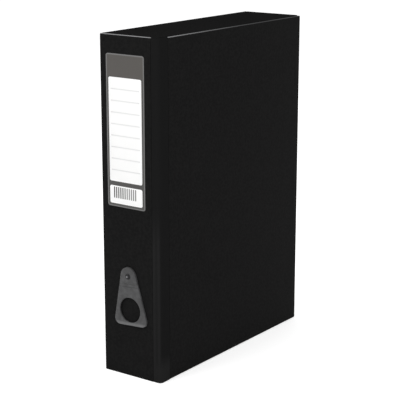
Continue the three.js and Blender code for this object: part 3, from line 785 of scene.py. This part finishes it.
def block(low: Vector, high: Vector) -> BMesh:
    """Makes a sharp-edged block.

    Args:
        low: Its lowest corner.
        high: Its highest corner.

    Returns:
        The new shape.
    """
    shape = bmesh.new()
    place = Matrix.Translation((low + high) / 2) @ Matrix.Diagonal((*(high - low), 1.0))
    bmesh.ops.create_cube(shape, size=1.0, matrix=place)
    return shape


def round_edges(shape: BMesh, edges: Iterable[BMEdge], offset: float, segments: int) -> None:
    """Rounds edges of a shape.

    Args:
        shape: The shape, which is changed.
        edges: The edges to round.
        offset: How far each rounding reaches into the faces beside it.
        segments: The number of faces across each rounding.
    """
    bmesh.ops.bevel(shape, geom=list(edges), offset=offset, offset_type="OFFSET", segments=segments,
                    affect="EDGES", profile=0.5, material=-1, clamp_overlap=True)


def cut_round_hole(shape: BMesh, centre: Vector, axis: str, radius: float,
                   sides: int = 32, ease: float = 0.0) -> None:
    """Opens a round hole right through the two big faces of a panel.

    Args:
        shape: A panel whose two big faces are flat across the axis.
        centre: A point on the hole's axis.
        axis: X or Y, the panel's thin direction.
        radius: The hole's radius.
        sides: The number of corners of the rim.
        ease: The rounding of the rim on both faces, or 0 for none.
    """
    across = {"X": 0, "Y": 1}[axis]
    turn = {"X": Matrix.Rotation(math.pi / 2, 4, "Y"), "Y": Matrix.Rotation(math.pi / 2, 4, "X")}[axis]
    rims = []
    faces = sorted(shape.faces, key=lambda face: face.calc_area(), reverse=True)[:2]
    for face in faces:
        middle = centre.copy()
        middle[across] = face.calc_center_median()[across]
        rim = ring_edges(shape, middle, turn, radius + ease, sides)
        outline = list(face.edges)
        normal = face.normal.copy()
        bmesh.ops.delete(shape, geom=[face], context="FACES_ONLY")
        bmesh.ops.triangle_fill(shape, use_beauty=True, use_dissolve=False, edges=outline + rim,
                                normal=normal)
        for turned in range(1, EASE_STEPS + 1 if ease else 1):
            angle = turned * math.pi / 2 / EASE_STEPS
            deeper = middle - normal * ease * (1 - math.cos(angle))
            inner = ring_edges(shape, deeper, turn, radius + ease * (1 - math.sin(angle)), sides)
            bmesh.ops.bridge_loops(shape, edges=rim + inner)
            rim = inner
        rims.extend(rim)
    bmesh.ops.bridge_loops(shape, edges=rims)
    bmesh.ops.recalc_face_normals(shape, faces=shape.faces[:])


def ring_edges(shape: BMesh, middle: Vector, turn: Matrix, radius: float, sides: int) -> list[BMEdge]:
    """Adds a circle of edges.

    Args:
        shape: The shape, which is changed.
        middle: The circle's middle.
        turn: How it is turned from facing up.
        radius: Its radius.
        sides: The number of its corners.

    Returns:
        The new edges.
    """
    ring = bmesh.ops.create_circle(shape, cap_ends=False, radius=radius, segments=sides,
                                   matrix=Matrix.Translation(middle) @ turn)["verts"]
    return list({edge for vert in ring for edge in vert.link_edges})


@dataclass
class CoveredBoards:
    """The boards and walls, each wrapped in black paper that is folded round its edges."""

    cover: Material
    wall_cover: Material
    # The cover material with the painted highlight, for the boards' head edges.
    fold_highlight: Material
    folded: tuple[str, ...] = ("spine_board", "lid_board")
    highlight_slope: float = 0.3
    board_round: float = 0.0011
    joint_round: float = 0.0002
    wall_round: float = 0.0008
    round_segments: int = 4
    rivet_hole: float = 0.0019
    rivet_hole_sides: int = 20
    button_gap: float = 0.0004
    on_case: tuple[str, ...] = ("base_board", "spine_board", "spine_wall", "head_wall", "tail_wall",
                                "fore_edge_wall")

    def panel(self, node: str, body: Body, radius: float) -> None:
        """Builds one covered panel in the box of its node.

        Args:
            node: The node that it replaces.
            body: The body that it moves with.
            radius: The rounding of its edges.
        """
        low, high = corners(node)
        shape = block(low, high)
        joint = self.beside_strip(shape, low, high) if node in self.folded else []
        others = [edge for edge in shape.edges if edge not in joint]
        round_edges(shape, others, radius, self.round_segments)
        if joint:
            round_edges(shape, self.beside_strip(shape, low, high), self.joint_round, 2)
        self.open_holes(shape, node)
        finishes = [self.wall_cover if node.endswith("wall") else self.cover]
        # The up-facing head faces of the spine and lid boards take the painted highlight material.
        if node in self.folded:
            finishes.append(self.fold_highlight)
            for face in shape.faces:
                face.material_index = 1 if face.normal.z > self.highlight_slope else 0
        smooth(shape)
        hand_over(shape, f"{node}_covered", body, finishes, (node,))

    def beside_strip(self, shape: BMesh, low: Vector, high: Vector) -> list[BMEdge]:
        """Finds the upright edge of a folded board that the corner strip lies against.

        Args:
            shape: The board, square or rounded elsewhere.
            low: Its lowest corner.
            high: Its highest corner.

        Returns:
            The edge, in a list.
        """
        return [edge for edge in shape.edges
                if all(vert.co.x > high.x - TINY and vert.co.y < low.y + TINY for vert in edge.verts)]

    def open_holes(self, shape: BMesh, node: str) -> None:
        """Opens the holes that the rivet and the button pass through.

        Args:
            shape: The panel, which is changed.
            node: The node that it replaces.
        """
        if node in ("spine_board", "spine_wall"):
            low, high = corners("pull_rivet")
            cut_round_hole(shape, (low + high) / 2, "Y", self.rivet_hole, self.rivet_hole_sides)
        if node == "fore_edge_wall":
            low, high = corners("catch_button")
            cut_round_hole(shape, (low + high) / 2, "Y", (high.x - low.x) / 2 + self.button_gap)

    def build(self) -> None:
        """Builds every board and wall."""
        for node in self.on_case:
            self.panel(node, Body.CASE, self.board_round if node.endswith("board") else self.wall_round)
        self.panel("lid_board", Body.LID, self.board_round)


@dataclass
class HingeStrip:
    """The flexible strip from the spine board round the corner to the lid board."""

    cloth: Material
    round_radius: float = 0.004
    bead: float = 0.0002
    edge_drop: float = 0.00006
    edge_reach: float = 0.0003
    end_round: float = 0.0004
    rows: int = 48
    bend_start: float = 0.0072
    bend_end: float = 0.0006

    def outline(self, low: Vector, high: Vector, thickness: float) -> list[tuple[float, float]]:
        """Works out the strip's section, with a slightly proud bead and rolled-in edges.

        Args:
            low: The node's lowest corner.
            high: The node's highest corner.
            thickness: The strip's thickness.

        Returns:
            The section's points in X and Y, in order round it.
        """
        centre_x = high.x - self.round_radius
        centre_y = low.y + self.round_radius
        flat_spine = centre_x - low.x
        flat_lid = high.y - centre_y
        turn = self.round_radius * math.pi / 2
        total = flat_spine + turn + flat_lid
        outer, inner = [], []
        for step in range(self.rows + 1):
            run = total * step / self.rows
            rise = self.bead * math.sin(math.pi * run / total) ** 0.7
            lift = rise - self.edge_drop * math.exp(-min(run, total - run) / self.edge_reach)
            if run < flat_spine:
                base, normal = Vector((low.x + run, low.y)), Vector((0.0, -1.0))
            elif run < flat_spine + turn:
                angle = -math.pi / 2 + (run - flat_spine) / self.round_radius
                normal = Vector((math.cos(angle), math.sin(angle)))
                base = Vector((centre_x, centre_y)) + self.round_radius * normal
            else:
                base, normal = Vector((high.x, centre_y + run - flat_spine - turn)), Vector((1.0, 0.0))
            outer.append(base + lift * normal)
            inner.append(base - thickness * normal)
        return [(point.x, point.y) for point in outer + inner[::-1]]

    def build(self) -> None:
        """Builds the strip, left without a body."""
        low, high = corners("hinge_strip")
        thickness = corners("spine_board")[1].y - low.y
        shape = bmesh.new()
        ring = [shape.verts.new((x, y, low.z)) for x, y in self.outline(low, high, thickness)]
        base = shape.faces.new(ring)
        raised = bmesh.ops.extrude_face_region(shape, geom=[base])
        top = [part for part in raised["geom"] if isinstance(part, BMVert)]
        bmesh.ops.translate(shape, verts=top, vec=(0.0, 0.0, high.z - low.z))
        bmesh.ops.recalc_face_normals(shape, faces=shape.faces[:])
        caps = [face for face in shape.faces if abs(face.normal.z) > 0.9]
        round_edges(shape, {edge for face in caps for edge in face.edges}, self.end_round, 2)
        smooth(shape)
        strip = hand_over(shape, "hinge_strip_cloth", Body.CASE, (self.cloth,),
                          ("hinge_strip",), ride=False)
        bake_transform(strip)


@dataclass
class SpineLabel:
    """The label: a thin grey sheet, with the writing panel and the lower panel printed on it."""

    plies: tuple[tuple[str, type, float], ...] = (
        ("spine_label", LabelFinish, 0.0025),
        ("label_title_panel", WritingFinish, 0.002),
        ("label_code_panel", CodeFinish, 0.002),
    )
    corner_segments: int = 8
    front_share: float = 0.3

    def sheet(self, node: str, finish: Material, radius: float) -> None:
        """Builds one sheet with round corners and a soft front edge.

        Args:
            node: The node that it replaces.
            finish: Its material.
            radius: The radius of its corners.
        """
        low, high = corners(node)
        shape = block(low, high)
        thick = high.y - low.y
        through = [edge for edge in shape.edges if abs((edge.verts[0].co - edge.verts[1].co).y) > thick / 2]
        round_edges(shape, through, radius, self.corner_segments)
        front = [face for face in shape.faces if face.normal.y < -0.9]
        round_edges(shape, {edge for face in front for edge in face.edges}, self.front_share * thick, 2)
        smooth(shape)
        hand_over(shape, f"{node}_print", Body.CASE, (finish,), (node,))

    def build(self) -> None:
        """Builds the three sheets."""
        for node, finish, radius in self.plies:
            self.sheet(node, finish(*corners(node)).build(), radius)


@dataclass
class Refined:
    """Solids whose own form is right: a merged copy of each with soft edges and smooth shading."""

    finish: Material
    slot: Slot
    nodes: Solids = ()
    merge_distance: float = 0.0000005
    flat_angle: float = math.radians(1.0)
    sharp_angle: float = math.radians(50)
    shading_angle: float = math.radians(42)

    def build(self) -> None:
        """Builds a copy of each node."""
        for node, body, edge in self.nodes:
            self.copy(node, body, edge)

    def copy(self, node: str, body: Body, edge: float, ride: bool = True) -> Object:
        """Builds one copy.

        Args:
            node: The node that it replaces.
            body: The body that it moves with.
            edge: The rounding of its sharp edges, or 0 for none.
            ride: False where the piece is left without a body.

        Returns:
            The new object.
        """
        source = FRAME_OBJECTS[node]
        shape = bmesh.new()
        shape.from_mesh(source.data)
        bmesh.ops.transform(shape, matrix=source.matrix_world, verts=shape.verts[:])
        bmesh.ops.remove_doubles(shape, verts=shape.verts[:], dist=self.merge_distance)
        bmesh.ops.dissolve_limit(shape, angle_limit=self.flat_angle, verts=shape.verts[:],
                                 edges=shape.edges[:])
        if edge:
            sharp = [one for one in shape.edges if one.calc_face_angle(0.0) > self.sharp_angle]
            round_edges(shape, sharp, edge, 2)
        smooth(shape, self.shading_angle)
        return hand_over(shape, f"{node}_finished", body, (self.finish,), (node,), ride)


@dataclass
class Springs:
    """The clip's two torsion springs, which wind up, and the catch's spring, which shortens."""

    finish: Material
    wire: float = 0.0016
    pressed_share: float = 0.66

    def build(self) -> None:
        """Builds the three springs."""
        copies = Refined(self.finish, Slot.SPRING)
        for node in ("clip_spring_upper", "clip_spring_lower"):
            spring = copies.copy(node, Body.CASE, 0.0, ride=False)
            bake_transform(spring)
        spring = copies.copy("catch_spring", Body.CASE, 0.0)
        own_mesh(spring)


@dataclass
class FingerPull:
    """The moulded pull: one plate with a thin band, at which its ring bends out of the spine."""

    top_radius: float = 0.0100
    foot_half: float = 0.0229
    top_half: float = 0.0078
    top_corner: float = 0.0077
    foot_corner: float = 0.0086
    corner_segments: int = 12
    rim: float = 0.0007
    hole_radius: float = 0.0137
    hole_drop: float = 0.037
    hole_sides: int = 40
    band_top: float = 0.0077
    band_foot: float = 0.0120
    band_depth: float = 0.0008
    band_margin: float = 0.0001
    band_rows: int = 9
    head_height: float = 0.0013
    shank_radius: float = 0.0016
    turn_steps: int = 32
    merge_distance: float = 0.000005

    def build(self) -> None:
        """Builds the plate and the rivet."""
        low, high = corners("pull_rivet")
        centre = (low + high) / 2
        plate_low, plate_high = corners("finger_pull")
        self.plate(centre, plate_low.y, plate_high.y, PlasticFinish(centre).build())
        self.rivet(low, high, RivetFinish(centre).build())

    def plate(self, centre: Vector, front: float, back: float, finish: Material) -> None:
        """Builds the plate upright around the rivet, then leans it.

        Args:
            centre: The rivet's centre.
            front: The plate's front in Y.
            back: The plate's back in Y.
            finish: Its material.
        """
        shape = bmesh.new()
        bmesh.ops.create_cube(shape, size=1.0)
        for vert in shape.verts:
            above = vert.co.z > 0
            half = self.top_half if above else self.foot_half
            height = self.top_radius if above else -PULL_DROP
            vert.co = Vector((math.copysign(half, vert.co.x), front if vert.co.y < 0 else back, height))
        for above, offset in ((True, self.top_corner), (False, self.foot_corner)):
            through = [edge for edge in shape.edges
                       if all((vert.co.z > self.top_radius * 0.99) == above for vert in edge.verts)
                       and abs((edge.verts[0].co - edge.verts[1].co).normalized().y) > 0.9
                       and (above or edge.verts[0].co.z < -0.99 * PULL_DROP)]
            round_edges(shape, through, offset, self.corner_segments)
        faces = [face for face in shape.faces if face.normal.y < -0.9]
        round_edges(shape, {edge for face in faces for edge in face.edges}, self.rim, 3)
        middle = Vector((0.0, (front + back) / 2, -self.hole_drop))
        cut_round_hole(shape, middle, "Y", self.hole_radius, self.hole_sides, self.rim)
        self.thin_band(shape, front)
        turn = Matrix.Translation((centre.x, 0.0, centre.z)) @ Matrix.Rotation(-PULL_LEAN, 4, "Y")
        bmesh.ops.transform(shape, matrix=turn, verts=shape.verts[:])
        bmesh.ops.recalc_face_normals(shape, faces=shape.faces[:])
        smooth(shape)
        piece = hand_over(shape, "finger_pull_moulding", Body.CASE, (finish,),
                          ("pull_anchor", "finger_pull"), ride=False)
        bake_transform(piece)

    def thin_band(self, shape: BMesh, front: float) -> None:
        """Cuts rows across the plate at the band and sets the band's front back.

        Args:
            shape: The plate, which is changed.
            front: The plate's front in Y.
        """
        for row in range(self.band_rows + 1):
            height = -self.band_top - (self.band_foot - self.band_top) * row / self.band_rows
            bmesh.ops.bisect_plane(shape, geom=shape.verts[:] + shape.edges[:] + shape.faces[:],
                                   dist=TINY, plane_co=(0.0, 0.0, height), plane_no=(0.0, 0.0, 1.0),
                                   use_snap_center=False, clear_outer=False, clear_inner=False)
        for vert in shape.verts:
            drop = -vert.co.z
            in_band = self.band_top + self.band_margin < drop < self.band_foot - self.band_margin
            if in_band and vert.co.y < front + 2 * self.band_depth:
                vert.co.y = max(vert.co.y, front + self.band_depth)

    def rivet(self, low: Vector, high: Vector, finish: Material) -> None:
        """Builds the domed rivet.

        Args:
            low: The node's lowest corner.
            high: The node's highest corner.
            finish: Its material.
        """
        middle = (low + high) / 2
        head = (high.x - low.x) / 2
        shape = bmesh.new()
        profile = ((0.0, 0.0), (0.35, 0.03), (0.62, 0.12), (0.82, 0.30), (0.95, 0.62), (1.0, 1.0))
        height = self.head_height
        points = [Vector((middle.x + head * r, low.y + height * d, middle.z)) for r, d in profile]
        shank = self.shank_radius
        points.append(Vector((middle.x + shank, low.y + height, middle.z)))
        points.append(Vector((middle.x + shank, high.y - height, middle.z)))
        points.append(Vector((middle.x + head, high.y - height, middle.z)))
        points.append(Vector((middle.x + head * 0.9, high.y - 0.2 * height, middle.z)))
        points.append(Vector((middle.x, high.y, middle.z)))
        verts = [shape.verts.new(point) for point in points]
        edges = [shape.edges.new(pair) for pair in zip(verts, verts[1:])]
        bmesh.ops.spin(shape, geom=verts + edges, cent=middle, axis=(0.0, 1.0, 0.0), angle=2 * math.pi,
                       steps=self.turn_steps, use_merge=True, use_duplicate=False)
        bmesh.ops.remove_doubles(shape, verts=shape.verts[:], dist=self.merge_distance)
        bmesh.ops.recalc_face_normals(shape, faces=shape.faces[:])
        smooth(shape)
        hand_over(shape, "pull_rivet_domed", Body.CASE, (finish,), ("pull_rivet",))


@dataclass(frozen=True)
class Lamp:
    """One square soft lamp."""

    name: str
    place: tuple[float, float, float]
    size: float
    power: float

    def build(self, aim: Vector) -> None:
        """Adds the lamp.

        Args:
            aim: The point that it faces.
        """
        data = bpy.data.lights.new(self.name, "AREA")
        data.shape = "SQUARE"
        data.size = self.size
        data.energy = self.power
        lamp = bpy.data.objects.new(self.name, data)
        lamp.location = self.place
        lamp.rotation_euler = (aim - Vector(self.place)).to_track_quat("-Z", "Y").to_euler()
        bpy.context.scene.collection.objects.link(lamp)


@dataclass
class Studio:
    """A white studio: floor, surround, soft lamps and the camera."""

    azimuth: float = math.radians(36.085)
    elevation: float = math.radians(14.112)
    distance: float = 1.45886
    aim_across: float = -0.00612
    aim_height: float = 0.16794
    lens: float = 117.3
    sensor_width: float = 36.0
    clip_start: float = 0.01
    lamps: tuple[Lamp, ...] = (
        Lamp("key", (-0.7, -1.5, 1.5), 1.2, 17.5),
        Lamp("fill", (1.7, -0.5, 0.9), 1.4, 10.0),
        Lamp("back", (-0.9, 1.6, 1.2), 1.4, 4.0),
    )
    lamp_aim: float = 0.18
    ambient: float = 0.55
    floor_glow: float = 0.55
    floor_half: float = 6.0
    floor_grey: float = 0.93

    def surround(self) -> None:
        """Makes the world: white to the camera and in reflections, softer as a light."""
        graph = WorldGraph("studio")
        levels = {"Value": graph.in_sight(), "To Min": self.ambient, "To Max": 1.0}
        graph.finish("Color", (1.0, 1.0, 1.0))
        graph.finish("Strength", graph.node("ShaderNodeMapRange", None, levels))
        bpy.context.scene.world = graph.world

    def floor(self) -> None:
        """Makes the floor: white to the camera, and keeps a soft shadow."""
        shape = bmesh.new()
        bmesh.ops.create_grid(shape, x_segments=1, y_segments=1, size=self.floor_half)
        mesh = bpy.data.meshes.new("floor")
        shape.to_mesh(mesh)
        shape.free()
        graph = Graph("studio_floor")
        graph.finish("Base Color", (self.floor_grey, self.floor_grey, self.floor_grey))
        graph.finish("Roughness", 0.9)
        graph.finish("Specular IOR Level", 0.0)
        glow = graph.blend(graph.in_sight(), (0.0, 0.0, 0.0), (1.0, 1.0, 1.0))
        graph.finish("Emission Color", glow)
        graph.finish("Emission Strength", self.floor_glow)
        mesh.materials.append(graph.material)
        floor = bpy.data.objects.new("floor", mesh)
        bpy.context.scene.collection.objects.link(floor)

    def camera(self) -> None:
        """Places the camera at the photograph's viewing angle."""
        az, el = self.azimuth, self.elevation
        back = Vector((math.sin(az) * math.cos(el), -math.cos(az) * math.cos(el), math.sin(el)))
        right = Vector((math.cos(az), math.sin(az), 0.0))
        target = right * self.aim_across + Vector((0.0, 0.0, self.aim_height))
        data = bpy.data.cameras.new("camera")
        data.lens = self.lens
        data.sensor_width = self.sensor_width
        data.clip_start = self.clip_start
        camera = bpy.data.objects.new("camera", data)
        camera.location = target + back * self.distance
        camera.rotation_euler = back.to_track_quat("Z", "Y").to_euler()
        bpy.context.scene.collection.objects.link(camera)
        bpy.context.scene.camera = camera

    def build(self) -> None:
        """Builds the studio."""
        self.surround()
        self.floor()
        for lamp in self.lamps:
            lamp.build(Vector((0.0, 0.0, self.lamp_aim)))
        self.camera()
        bpy.context.scene.view_settings.view_transform = "Standard"


STEEL_NODES: Solids = (
    ("pull_washer", Body.CASE, 0.0),
    ("clip_base_plate", Body.CASE, 0.00015),
    ("clip_rivet_1", Body.CASE, 0.0),
    ("clip_rivet_2", Body.CASE, 0.0),
    ("clip_pivot_pin", Body.CASE, 0.0002),
    ("clip_arm", Body.CLIP, 0.0),
    ("clip_press_bar", Body.CLIP, 0.00015),
    ("catch_housing", Body.CASE, 0.00015),
    ("catch_bezel", Body.CASE, 0.00015),
    ("catch_button", Body.BUTTON, 0.0),
    ("catch_rivet_1", Body.CASE, 0.0),
    ("catch_rivet_2", Body.CASE, 0.0),
    ("catch_strike", Body.LID, 0.00015),
    ("strike_rivet_1", Body.LID, 0.0),
    ("strike_rivet_2", Body.LID, 0.0),
)
LINING_NODES: Solids = (
    ("base_lining", Body.CASE, 0.0),
    ("lid_lining", Body.LID, 0.0),
)


def main() -> None:
    """Builds the box file around the frame."""
    logging.basicConfig(level=logging.INFO, format="%(message)s")
    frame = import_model()
    FRAME_OBJECTS.update(frame["nodes"])
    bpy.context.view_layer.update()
    Studio().build()
    cover = CoverFinish().build()
    # Same paper as the board cover with no gloss; its colour is a touch paler, a painted reflection in
    # place of the lost sheen.
    wall_cover = CoverFinish(name="matt_black_cover_paper", colour=(0.0094, 0.0094, 0.0095),
                             worn=(0.0138, 0.0137, 0.0136), specular=0.0).build()
    steel = SteelFinish().build()
    spring = SteelFinish(name="spring_wire", colour=(0.36, 0.365, 0.37), dull=(0.27, 0.27, 0.275)).build()
    builders: list[Callable[[], None]] = [
        CoveredBoards(cover, wall_cover, FoldHighlightFinish().build()).build,
        HingeStrip(HingeFinish().build()).build,
        SpineLabel().build,
        FingerPull().build,
        Refined(steel, Slot.STEEL, STEEL_NODES).build,
        Springs(spring).build,
        Refined(LiningFinish().build(), Slot.LINING, LINING_NODES).build,
    ]
    for build in builders:
        build()


if __name__ == "__main__":
    main()
